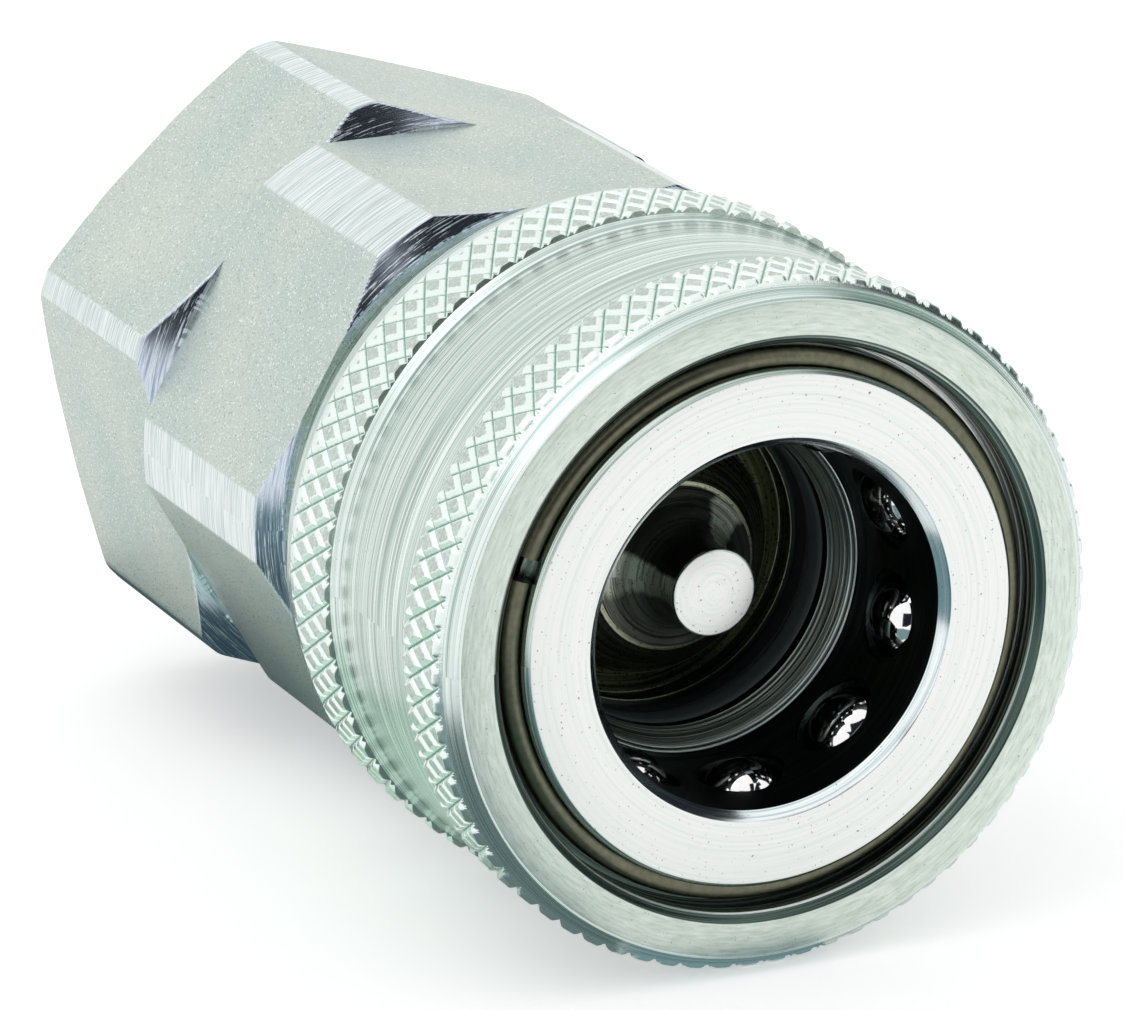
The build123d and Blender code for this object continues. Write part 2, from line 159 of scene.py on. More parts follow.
def weldMesh(mesh, turnOut=False):
    # joins points that lie on each other, as at a pole
    shell = bmesh.new()
    shell.from_mesh(mesh)
    bmesh.ops.remove_doubles(shell, verts=shell.verts, dist=1e-7)
    if turnOut:
        bmesh.ops.recalc_face_normals(shell, faces=shell.faces)
    shell.to_mesh(mesh)
    shell.free()


def smoothMesh(mesh, sharp):
    mesh.shade_smooth()
    mesh.set_sharp_from_angle(angle=math.radians(sharp))


def newPiece(
    name, points, faces, materials, body, faceMaterial=None, sharp=30.0, values=None, weld=False,
):
    # points in millimetres; values are named numbers on the points for the materials
    mesh = bpy.data.meshes.new(name)
    corners = np.asarray(points).reshape(-1, 3) * mm
    mesh.from_pydata(corners.tolist(), [], [list(map(int, f)) for f in faces])
    for material in materials:
        mesh.materials.append(material)
    if faceMaterial is not None:
        mesh.polygons.foreach_set("material_index", np.asarray(faceMaterial, dtype=np.int32))
    for key, numbers in (values or {}).items():
        layer = mesh.attributes.new(key, "FLOAT", "POINT")
        layer.data.foreach_set("value", np.asarray(numbers, dtype=np.float32).ravel())
    if weld:
        weldMesh(mesh)
    smoothMesh(mesh, sharp)
    piece = newObject(name, mesh)
    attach(piece, body)
    return piece


def turnedPiece(name, corners, materials, body, columns=256, steps=5, sharp=30.0):
    # a closed ring: a rounded outline spun round the X axis
    outline, marks = roundedLoop(corners, steps)
    points = spun(outline, columns)
    faces = gridQuads(len(outline), columns, True, True)
    return newPiece(name, points, faces, materials, body, np.repeat(marks, columns), sharp)


def stackPiece(name, bands, materials, body, sharp=30.0, values=None):
    # bands of rings, each (points, marks, cut or None), in order along the outline and closed end to start
    first, faces, marks = 0, [], []
    starts = []
    for points, mark, cut in bands:
        rows, columns = points.shape[:2]
        starts.append((first, rows, columns))
        quads = gridQuads(rows, columns, False, True, first)
        if cut is None:
            cut = np.zeros(len(quads), bool)
        a, b, c, d = quads.T
        one = np.where(cut[:, None], np.stack([a, b, c], 1), np.stack([a, b, d], 1))
        two = np.where(cut[:, None], np.stack([a, c, d], 1), np.stack([b, c, d], 1))
        faces += [one, two]
        perRow = np.repeat(np.asarray(mark)[: rows - 1], columns)
        marks += [perRow, perRow]
        first += rows * columns
    for index, (start, rows, columns) in enumerate(starts):
        nextStart, _, nextColumns = starts[(index + 1) % len(starts)]
        joint = bridge(start + (rows - 1) * columns, columns, nextStart, nextColumns)
        faces.append(joint)
        marks.append(np.full(len(joint), np.asarray(bands[index][1])[-1]))
    points = np.vstack([band[0].reshape(-1, 3) for band in bands])
    faces, marks = np.vstack(faces), np.concatenate(marks)
    return newPiece(name, points, faces, materials, body, marks, sharp, values)


def softMin(a, b, blend):
    # the smaller of a and b, with the corner between them rounded over blend
    return np.minimum(a, b) - np.maximum(blend - np.abs(a - b), 0) ** 2 / (4 * blend)


# material tools

def addNode(tree, kind, sockets=None, **settings):
    node = tree.nodes.new(kind)
    for key, value in settings.items():
        setattr(node, key, value)
    for key, value in (sockets or {}).items():
        socket = node.inputs[key]
        if isinstance(value, bpy.types.NodeSocket):
            tree.links.new(value, socket)
        else:
            socket.default_value = value
    return node


def calc(tree, operation, a, b=0.0, clamp=False):
    return addNode(tree, "ShaderNodeMath", {0: a, 1: b}, operation=operation, use_clamp=clamp).outputs[0]


def ramp(tree, value, stops):
    # stops are (place, colour or grey)
    node = addNode(tree, "ShaderNodeValToRGB", {"Fac": value})
    while len(node.color_ramp.elements) < len(stops):
        node.color_ramp.elements.new(0.5)
    for element, (place, colour) in zip(node.color_ramp.elements, stops):
        element.position = place
        element.color = (*colour, 1) if isinstance(colour, tuple) else (colour, colour, colour, 1)
    return node.outputs[0]


def blendColour(tree, share, a, b, kind="MIX"):
    node = addNode(tree, "ShaderNodeMix", data_type="RGBA", blend_type=kind)
    for index, value in ((0, share), (6, a), (7, b)):
        if isinstance(value, bpy.types.NodeSocket):
            tree.links.new(value, node.inputs[index])
        elif index:
            node.inputs[index].default_value = (*value, 1)
        else:
            node.inputs[index].default_value = value
    return node.outputs[2]


def emptyTree(owner):
    owner.use_nodes = True
    owner.node_tree.nodes.clear()
    return owner.node_tree


def noise(tree, place, scale, detail=3.0, roughness=0.5):
    sockets = {"Vector": place, "Scale": scale, "Detail": detail, "Roughness": roughness}
    return addNode(tree, "ShaderNodeTexNoise", sockets).outputs[0]


def pointNumber(tree, name):
    # a named number that the mesh carries on its points
    node = addNode(tree, "ShaderNodeAttribute", attribute_name=name, attribute_type="GEOMETRY")
    return node.outputs["Fac"]


def vectorCalc(tree, operation, sockets):
    return addNode(tree, "ShaderNodeVectorMath", sockets, operation=operation).outputs[0]


def addBump(tree, shader, height, distance):
    bump = addNode(tree, "ShaderNodeBump", {"Strength": 1.0, "Distance": distance, "Height": height})
    tree.links.new(bump.outputs[0], shader.inputs["Normal"])


def blankMetal(name, metallic=1.0):
    material = bpy.data.materials.new(name)
    tree = emptyTree(material)
    shader = addNode(tree, "ShaderNodeBsdfPrincipled", {"Metallic": metallic})
    addNode(tree, "ShaderNodeOutputMaterial", {"Surface": shader.outputs[0]})
    return material, tree, shader


def roundCoordinates(tree):
    # object coordinates in millimetres: plain, and as (x, distance from the axis, angle)
    place = addNode(tree, "ShaderNodeTexCoord").outputs["Object"]
    millimetres = vectorCalc(tree, "SCALE", {0: place, "Scale": 1 / mm})
    x, y, z = addNode(tree, "ShaderNodeSeparateXYZ", {0: millimetres}).outputs
    squares = calc(tree, "ADD", calc(tree, "MULTIPLY", y, y), calc(tree, "MULTIPLY", z, z))
    radius = calc(tree, "SQRT", squares)
    angle = calc(tree, "ARCTAN2", z, y)
    return millimetres, x, radius, angle


def cuttingLines(tree, x, radius, angle, fineness, wander):
    # tool marks: noise that changes along the cut and hardly at all round it
    drift = calc(tree, "MULTIPLY", angle, wander)
    along = addNode(tree, "ShaderNodeCombineXYZ", {0: x, 1: radius, 2: drift}).outputs[0]
    return noise(tree, along, fineness, roughness=0.65)


def turnedMetal(name, look):
    # turned metal: fine rings in height, colour and gloss
    material, tree, shader = blankMetal(name)
    millimetres, x, radius, angle = roundCoordinates(tree)
    lines = cuttingLines(tree, x, radius, angle, look["fineness"], look["wander"])
    broad = cuttingLines(tree, x, radius, angle, look["fineness"] * look["broad"], look["wander"])
    specks = noise(tree, millimetres, look["speckScale"], 2.0)
    darkStop, lightStop = (look["darkAt"], look["dark"]), (look["lightAt"], look["light"])
    stripe = ramp(tree, lines, [darkStop, (0.5, look["tint"]), lightStop])
    bands = ramp(tree, broad, [(0.38, 0.0), (0.62, look["banding"])])
    tone = blendColour(tree, bands, stripe, look["tint"])
    dirty = ramp(tree, specks, [(look["speckAt"], 1.0), (look["speckAt"] + 0.05, 0.0)])
    if "paintedShade" in look:
        # painted shade and highlights: some sectors round the turn are darkened and others left bright,
        # given by stops round it
        wobble = calc(tree, "MULTIPLY", broad, look["paintedShadeWander"])
        share = calc(tree, "ADD", calc(tree, "DIVIDE", angle, turn), wobble)
        share = calc(tree, "ADD", share, 0.5 - look["paintedShadeWander"] / 2)
        tone = blendColour(tree, 1.0, tone, ramp(tree, share, look["paintedShade"]), "MULTIPLY")
    tree.links.new(blendColour(tree, dirty, tone, look["speck"]), shader.inputs["Base Color"])
    spread = calc(tree, "MULTIPLY", calc(tree, "SUBTRACT", lines, 0.5), look["roughSpread"])
    tree.links.new(calc(tree, "ADD", look["rough"], spread), shader.inputs["Roughness"])
    height = calc(tree, "ADD", lines, calc(tree, "MULTIPLY", broad, 2.0))
    addBump(tree, shader, height, look["depth"] * mm)
    return material


def knurledMetal(name, look, knurl):
    # turned metal whose tone follows cut, the depth below the teeth's tops:
    # grey tops, painted highlights on the flanks and painted shade in the grooves
    material, tree, shader = blankMetal(name)
    millimetres, x, radius, angle = roundCoordinates(tree)
    cut = pointNumber(tree, "cut")
    lines = cuttingLines(tree, x, radius, angle, look["fineness"], look["wander"])
    grain = noise(tree, millimetres, knurl["grain"], roughness=0.7)
    worn = calc(tree, "ADD", calc(tree, "MULTIPLY", lines, 0.5), calc(tree, "MULTIPLY", grain, 0.5))
    top = ramp(tree, worn, [(0.36, knurl["topDark"]), (0.6, knurl["topLight"])])
    uneven = calc(tree, "MULTIPLY", calc(tree, "SUBTRACT", grain, 0.5), 0.3)
    wander = calc(tree, "ADD", cut, uneven)
    # painted highlight on the flanks, running into painted shade at the groove bottoms
    flankStops = [(0.0, knurl["flank"]), (0.74, knurl["flank"])]
    flank = ramp(tree, wander, flankStops + [(0.95, knurl["groove"]), (1.0, knurl["groove"])])
    share = ramp(tree, wander, [(0.02, 0.0), (0.09, 1.0)])
    tree.links.new(blendColour(tree, share, top, flank), shader.inputs["Base Color"])
    rough = calc(tree, "SUBTRACT", knurl["rough"], calc(tree, "MULTIPLY", share, knurl["gloss"]))
    tree.links.new(rough, shader.inputs["Roughness"])
    addBump(tree, shader, grain, knurl["depth"] * mm)
    return material


def ballMetal(name, look):
    # chrome in soft facets, under painted shade that darkens it away from the mouth
    material, tree, shader = blankMetal(name)
    millimetres, x, radius, angle = roundCoordinates(tree)
    cells = addNode(tree, "ShaderNodeTexVoronoi", {"Vector": millimetres, "Scale": look["facets"]})
    middle = lowX("ball_01") / 2 + highX("ball_01") / 2
    reach = calc(tree, "SUBTRACT", x, middle)
    paintedShade = addNode(tree, "ShaderNodeMapRange", {0: reach, 1: look["paintedShadeFrom"], 2: look["paintedShadeTo"]}).outputs[0]
    tree.links.new(blendColour(tree, paintedShade, look["paintedShade"], look["bright"]), shader.inputs["Base Color"])
    shader.inputs["Roughness"].default_value = look["rough"]
    lean = vectorCalc(tree, "SUBTRACT", {0: cells.outputs["Color"], 1: (0.5, 0.5, 0.5)})
    lean = vectorCalc(tree, "SCALE", {0: lean, "Scale": look["tilt"]})
    normal = addNode(tree, "ShaderNodeNewGeometry").outputs["Normal"]
    tilted = vectorCalc(tree, "ADD", {0: normal, 1: lean})
    tree.links.new(vectorCalc(tree, "NORMALIZE", {0: tilted}), shader.inputs["Normal"])
    return material


def plainFinish(name, look):
    # an even finish with a fine grain
    material, tree, shader = blankMetal(name, look["metallic"])
    millimetres, x, radius, angle = roundCoordinates(tree)
    grain = noise(tree, millimetres, look["grain"])
    tree.links.new(blendColour(tree, grain, look["dark"], look["light"]), shader.inputs["Base Color"])
    shader.inputs["Roughness"].default_value = look["rough"]
    addBump(tree, shader, grain, look["depth"] * mm)
    return material


# finishes

blastLook = dict(
    cool=(0.63, 0.735, 0.705), warm=(0.75, 0.815, 0.735), grain=11.0, facets=12.0,
    cloud=0.12, grainDark=0.74,
    sparkle=(0.84, 0.9, 0.86), sparkleAt=0.93, pit=(0.36, 0.42, 0.38), pitAt=0.02, rough=0.46, depth=0.006,
)
turnedLook = dict(
    dark=(0.30, 0.39, 0.34), light=(0.93, 1.0, 0.95), tint=(0.59, 0.70, 0.65),
    darkAt=0.36, lightAt=0.63, banding=0.25, fineness=7.5, broad=0.22, wander=0.12,
    speckScale=8.0, speckAt=0.25, speck=(0.22, 0.24, 0.2), rough=0.27, roughSpread=0.2, depth=0.006,
)
faceLook = dict(
    turnedLook, dark=(0.57, 0.65, 0.56), light=(0.9, 0.97, 0.9), tint=(0.74, 0.83, 0.75),
    darkAt=0.3, lightAt=0.7, fineness=6.0, wander=2.5, rough=0.4,
)
noseLook = dict(
    turnedLook, dark=(0.84, 0.88, 0.85), light=(1.0, 1.0, 1.0), tint=(0.94, 0.97, 0.94),
    fineness=5.0, rough=0.34, speckScale=5.0, speckAt=0.27, depth=0.003,
)
# painted shade: the near-black tone stands in for the shade inside the bore, the ball holes and the throat
boreLook = dict(
    turnedLook, dark=(0.015, 0.024, 0.022), light=(0.07, 0.09, 0.08), tint=(0.035, 0.05, 0.047),
    rough=0.34, depth=0.002, speck=(0.06, 0.06, 0.03),
)
chamferLook = dict(
    turnedLook, dark=(0.42, 0.52, 0.55), light=(1.0, 1.0, 1.0), tint=(0.8, 0.89, 0.9),
    rough=0.15, fineness=6.0, depth=0.004,
)
# the brighter tint is a painted highlight along the sleeve's front edge and the groove's fillet; the lines
# are turning marks
edgeLook = dict(
    turnedLook, dark=(0.26, 0.36, 0.34), light=(0.93, 0.99, 0.97), tint=(0.74, 0.84, 0.8),
    darkAt=0.42, lightAt=0.58, banding=0.6, fineness=6.5, wander=0.06, depth=0.012,
)
# painted shade: the dark tone stands in for the shade inside the sleeve's front bore; the bright lines are
# turning marks
mouthLook = dict(
    turnedLook, dark=(0.05, 0.08, 0.07), light=(1.0, 1.0, 1.0), tint=(0.2, 0.28, 0.25),
    darkAt=0.46, lightAt=0.57, banding=0.5, fineness=4.2, wander=0.05, rough=0.3, depth=0.06,
)
stepLook = dict(
    turnedLook, dark=(0.12, 0.17, 0.16), light=(1.0, 1.0, 1.0), tint=(0.52, 0.64, 0.6),
    darkAt=0.43, lightAt=0.57, banding=0.6, fineness=4.5, wander=0.05, rough=0.36, depth=0.1,
)
seatLook = dict(
    turnedLook, dark=(0.16, 0.17, 0.10), light=(0.62, 0.64, 0.50), tint=(0.38, 0.39, 0.27),
    rough=0.32, fineness=6.0, wander=0.1, speckScale=6.0, speckAt=0.34, speck=(0.05, 0.06, 0.03),
)
flareLook = dict(
    turnedLook, dark=(0.2, 0.22, 0.15), light=(0.95, 1.0, 0.86), tint=(0.85, 0.89, 0.76), rough=0.42,
    fineness=5.0, wander=0.1, speckScale=7.0, speckAt=0.3, speck=(0.08, 0.09, 0.05), depth=0.025,
    # painted shade and highlights round the flare, by angle, in place of its reflections
    paintedShadeWander=0.06,
    paintedShade=[
        (0.03, 1.0), (0.05, 0.3), (0.26, 0.35), (0.32, 0.1), (0.57, 0.08),
        (0.585, 1.0), (0.65, 1.0), (0.665, 0.07), (0.93, 0.07), (0.945, 1.0),
    ],
)
# paintedShade is the balls' painted shade: dark on their side away from the mouth, bright towards it
chromeLook = dict(
    paintedShade=(0.04, 0.045, 0.05), bright=(0.95, 0.93, 0.93), paintedShadeFrom=0.5, paintedShadeTo=1.1,
    facets=0.8, tilt=0.32, rough=0.07,
)
# flank is a painted highlight and groove a painted shade; the tops keep the plating's own grey
knurlLook = dict(
    topDark=(0.42, 0.50, 0.45), topLight=(0.66, 0.74, 0.69), flank=(0.87, 0.96, 0.925),
    groove=(0.27, 0.43, 0.36),
    grain=5.0, rough=0.36, gloss=0.1, depth=0.01,
)
knurlPlate = knurledMetal("knurl_plating", turnedLook, knurlLook)
turnedPlate = turnedMetal("turned_plating", turnedLook)
facePlate = turnedMetal("face_plating", faceLook)
nosePlate = turnedMetal("nose_plating", noseLook)
boreSteel = turnedMetal("bore_painted_shade", boreLook)
chamferPlate = turnedMetal("chamfer_plating", chamferLook)
edgePlate = turnedMetal("edge_plating_highlight", edgeLook)
mouthPlate = turnedMetal("mouth_painted_shade", mouthLook)
stepSteel = turnedMetal("step_steel", stepLook)
seatSteel = turnedMetal("seat_steel", seatLook)
flareSteel = turnedMetal("flare_steel", flareLook)
chromeSteel = ballMetal("ball_chrome", chromeLook)
ringSteel = plainFinish("ring_brown", dict(
    metallic=1.0, dark=(0.1, 0.107, 0.066), light=(0.25, 0.245, 0.178), grain=3.0, rough=0.33, depth=0.003,
))
wireSteel = plainFinish("spring_wire", dict(
    metallic=1.0, dark=(0.4, 0.4, 0.4), light=(0.6, 0.6, 0.6), grain=3.0, rough=0.3, depth=0.002,
))
sealRubber = plainFinish("seal_rubber", dict(
    metallic=0.0, dark=(0.045, 0.06, 0.066), light=(0.075, 0.1, 0.108), grain=4.0, rough=0.42, depth=0.004,
))
backupPlastic = plainFinish("backup_plastic", dict(
    metallic=0.0, dark=(0.012, 0.014, 0.014), light=(0.025, 0.028, 0.028), grain=3.0, rough=0.5, depth=0.003,
))
print("finishes ready")


# sleeve, with real diamond knurls

sleeveSet = dict(
    teeth=74, pitch=2.8, cells=16, depth=0.30, startAt=138.3, columns=296,
    shape=(1.0, 0.74, 0.42, 0.13, 0.0),  # groove depth by cells from its middle
    frontKnurl=(-1.1, -5.0), frontDiamond=(-2.78, 134.25), frontOver=0.36,
    rearKnurl=(-15.5, -19.7), rearDiamond=(-17.42, 138.3),
    grooveDrop=0.7, fillet=(1.1, 0.38), shoulder=0.3, shoulderReach=0.35,
    edge=0.73, edgeReach=1.3, edgeLean=0.7, wall=0.03,
    tailDrop=0.55, tailEdge=0.5, tailPlain=1.75,
    face=18.45, mouth=16.05, ringPocket=-2.425, pocketRadius=15.47,
    slide=(-6.08, 14.65), spring=(-9.4, 16.75),
)


def knurlBand(s, start, stop, anchor, limit):
    # radius = crest - depth * shape(distance to the nearest groove of either hand), at most limit(x);
    # a groove runs where (teeth round + pitches along) or (teeth round - pitches along) is a whole number
    step = s["pitch"] / s["cells"]
    low, high = math.ceil((start - anchor[0]) / step), math.floor((stop - anchor[0]) / step)
    i = np.arange(low, high + 1)
    x = anchor[0] + i * step
    columns = s["teeth"] * s["cells"]
    # both knurls begin their columns at about one angle, so that the plain bands join them untwisted
    j = round((s["startAt"] - anchor[1]) / 360 * columns) + np.arange(columns)
    half = s["cells"] // 2
    u = (i[:, None] + j[None, :] + half) % s["cells"]
    v = (j[None, :] - i[:, None] + half) % s["cells"]
    near = np.minimum(np.minimum(u, s["cells"] - u), np.minimum(v, s["cells"] - v))
    cutDepth = np.interp(near, range(len(s["shape"])), s["shape"])
    crest = outerRadius("sleeve")
    r = np.minimum(crest - s["depth"] * cutDepth, limit(x)[:, None])
    angle = math.radians(anchor[1]) + turn * j / columns
    points = ringsAt(x[:, None], r, angle)
    # each cell is cut along the groove that is nearer to its middle
    uMid = (i[:-1, None] + j[None, :] + 1 + half) % s["cells"]
    vMid = (j[None, :] - i[:-1, None] + half) % s["cells"]
    alongU = np.minimum(uMid, s["cells"] - uMid) < np.minimum(vMid, s["cells"] - vMid)
    shown = np.where(r < crest - s["depth"] * cutDepth - 1e-6, 0.5, cutDepth)
    return points, ~alongU.ravel(), shown, angle[0]


def buildSleeve(s):
    crest, front, rear = outerRadius("sleeve"), highX("sleeve"), lowX("sleeve")
    floor = crest - s["grooveDrop"]
    tail = crest - s["tailDrop"]
    kneeFront, kneeRear = s["frontKnurl"][0], s["rearKnurl"][1]

    def frontLimit(x):
        # crest - shoulder - edge * (lean * share + (1 - lean) * share squared), down to the front face
        t = np.clip((x - kneeFront) / s["edgeReach"], 0, 1)
        shoulder = s["shoulder"] * np.clip((x - kneeFront) / s["shoulderReach"], 0, 1)
        return crest - shoulder - s["edge"] * (s["edgeLean"] * t + (1 - s["edgeLean"]) * t ** 2)

    def rearLimit(x):
        return np.interp(x, [rear + s["tailEdge"], kneeRear], [tail, crest])

    rearPoints, rearCut, rearDepth, rearStart = knurlBand(
        s, rear + s["tailPlain"], s["rearKnurl"][0], s["rearDiamond"], rearLimit)
    frontPoints, frontCut, frontDepth, frontStart = knurlBand(
        s, s["frontKnurl"][1], kneeFront + s["frontOver"], s["frontDiamond"], frontLimit)

    def plain(pairs, start, marks):
        outline = np.array(pairs, float)
        return spun(outline, s["columns"], start), np.array(marks), None

    # walls at the ends of the knurls keep the tooth outline, drawn in a little at the edge
    def endRing(points, x, inset, row):
        ring = points[row].copy()
        reach = np.hypot(ring[:, 1], ring[:, 2])[:, None]
        ring[:, 1:] *= (reach - inset) / reach
        ring[:, 0] = x
        return ring

    footRear, footFront = s["rearKnurl"][0], s["frontKnurl"][1]
    wall = s["wall"]
    rearWall = [endRing(rearPoints, footRear + shift, 0.0, -1) for shift in (-wall, wall)]
    frontWall = [
        endRing(frontPoints, footFront - wall, 0.02, 0),
        endRing(frontPoints, footFront + wall, 0.0, 0),
    ]
    rearPoints = np.concatenate([rearPoints, rearWall])
    frontPoints = np.concatenate([frontWall, frontPoints])
    columns = s["teeth"] * s["cells"]
    rearCut = np.concatenate([rearCut, np.zeros(2 * columns, bool)])
    frontCut = np.concatenate([np.zeros(2 * columns, bool), frontCut])
    lengthF, heightF = s["fillet"]
    # the groove's rear corner: height * (1 - share) squared
    groove = [(footRear + wall + lengthF * t, floor + heightF * (1 - t) ** 2) for t in np.linspace(0, 1, 7)]
    groove += [(-12.0, floor), (-9.0, floor)]
    groove += [(footFront - 0.1 - wall, floor), (footFront - wall, floor + 0.1)]
    edgeX = np.linspace(frontPoints[-1, 0, 0] + 0.1, front - wall, 9)
    edge = [(x, float(frontLimit(np.array([x]))[0])) for x in edgeX]
    mouth, ringX, ringR = s["mouth"], s["ringPocket"], s["pocketRadius"]
    (slideX, slideR), (springX, springR) = s["slide"], s["spring"]
    knee = rear + s["tailPlain"] - 0.1
    inner = roundedLoop([
        (front, s["face"], 0.03, 2), (front, mouth + 0.5, 0.08, 5), (front - 0.5, mouth, 0.08, 5),
        (ringX, mouth, 0.0, 5), (ringX, ringR, 0.0, 3), (slideX, slideR, 0.0, 3),
        (springX, slideR, 0.0, 3), (springX, springR, 0.0, 3), (rear, springR, 0.0, 3),
        (rear, tail - s["tailEdge"], 0.1, 1), (rear + s["tailEdge"], tail, 0.15, 1),
        (knee, float(rearLimit(knee)), 0.0, 1),
    ], 4)
    # the plain bands keep the starting angle of the knurl that they join
    bands = [
        (rearPoints, np.zeros(len(rearPoints), int), rearCut),
        plain(groove, rearStart, [4] * 6 + [1] * 5),
        (frontPoints, np.zeros(len(frontPoints), int), frontCut),
        plain(edge, frontStart, [4] * len(edge)),
        (spun(inner[0], s["columns"], frontStart), inner[1], None),
    ]
    counts = [b[0].shape[0] * b[0].shape[1] for b in bands]
    cut = np.zeros(sum(counts))
    cut[: rearDepth.size] = rearDepth.ravel()
    startFront = counts[0] + counts[1] + 2 * columns
    cut[startFront: startFront + frontDepth.size] = frontDepth.ravel()
    finishes = [knurlPlate, turnedPlate, facePlate, chamferPlate, edgePlate, mouthPlate]
    piece = stackPiece("pull_sleeve", bands, finishes, "sleeve", 32.0, {"cut": cut})
    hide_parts("sleeve")
    return piece


buildSleeve(sleeveSet)
print("sleeve built")


# hexagons

def hexRadius(angle, acrossFlats, corner):
    # distance to a hexagon's flats at each angle, with corners at corner + 60 degrees
    return acrossFlats / 2 / np.cos((angle - corner) % (turn / 6) - turn / 12)


bodySet = dict(
    flats=34.0, corner=0.0, faceRadius=17.2, turnedRadius=18.6, chamfer=30.0, columns=1080,
    soft=0.08, cornerSoft=0.04, markSoft=0.05, hexLength=17.2, collar=16.65, nose=14.6,
    groove=(-2.45, -0.75, 0.4), step=(-9.35, 9.82), throat=(-11.3, 8.97), gland=(-11.9, -15.2, 11.35),
    seatBore=(-16.6, 8.65, 9.9), socket=(-35.0, 11.95), threadBore=(-37.0, 13.0),
    ballHole=(2.35, 2.65), ballNeck=1.14, boreRadius=10.3, holeBreak=0.22, drillColumns=48,
)


def hexBand(x, s, frontX, rearX, turned, faceRear):
    # radius = soft minimum of the flats, the turned corners and the cones at both ends
    angle = turn * np.arange(s["columns"]) / s["columns"]
    flat = hexRadius(angle, s["flats"], math.radians(s["corner"]))[None, :] + 0 * x[:, None]
    slope = math.tan(math.radians(s["chamfer"]))
    cone = np.minimum(s["faceRadius"] + (frontX - x) / slope, faceRear + (x - rearX) / slope)
    cone = cone[:, None] + 0 * flat
    corner = turned + 0 * flat
    r = softMin(softMin(flat, corner, s["cornerSoft"]), cone, s["soft"])
    isTurned = np.clip((flat - np.minimum(corner, cone)) / s["markSoft"] + 0.5, 0, 1)
    isCone = np.clip((np.minimum(corner, flat) - cone) / s["markSoft"] + 0.5, 0, 1)
    return ringsAt(x[:, None], r, angle), isTurned, isCone


def drillBalls(piece, s):
    # ball holes: stepped drills from the bore outwards
    neck, wide = s["ballHole"]
    count = s["drillColumns"]
    low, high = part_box("ball_01")
    centre = math.hypot((low[1] + high[1]) / 2, (low[2] + high[2]) / 2) / mm
    stepAt = centre - s["ballNeck"]
    shape = np.array([
        (9.2, 0.0), (9.2, neck + s["holeBreak"]), (s["boreRadius"], neck + s["holeBreak"]),
        (s["boreRadius"] + s["holeBreak"], neck), (stepAt, neck), (stepAt, wide), (16.0, wide), (16.0, 0.0),
    ])
    around = turn * np.arange(count) / count
    drillX = shape[:, 1:2] * np.cos(around)
    side = shape[:, 1:2] * np.sin(around)
    out = shape[:, :1] + 0 * drillX
    points, faces = [], []
    for number in range(1, 11):
        low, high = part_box(f"ball_{number:02d}")
        angle = math.atan2((low[2] + high[2]) / 2, (low[1] + high[1]) / 2)
        x0 = (low[0] + high[0]) / 2 / mm
        y = out * math.cos(angle) - side * math.sin(angle)
        z = out * math.sin(angle) + side * math.cos(angle)
        points.append(np.stack([x0 + drillX, y, z], axis=-1).reshape(-1, 3))
        faces.append(gridQuads(len(shape), count, False, True, (number - 1) * len(shape) * count))
    drill = bpy.data.meshes.new("ball_drill")
    drill.from_pydata((np.vstack(points) * mm).tolist(), [], np.vstack(faces).tolist())
    weldMesh(drill, turnOut=True)
    drill.materials.append(boreSteel)
    tool = newObject("ball_drill", drill)
    cut = piece.modifiers.new("ball_holes", "BOOLEAN")
    cut.operation, cut.solver, cut.object = "DIFFERENCE", "EXACT", tool
    cut.material_mode = "TRANSFER"
    bpy.context.view_layer.update()
    drilled = piece.evaluated_get(bpy.context.evaluated_depsgraph_get())
    whole = bpy.data.meshes.new_from_object(drilled)
    piece.modifiers.clear()
    piece.data = whole
    whole.name = "coupler_body"
    smoothMesh(whole, 30)
    bpy.data.objects.remove(tool)


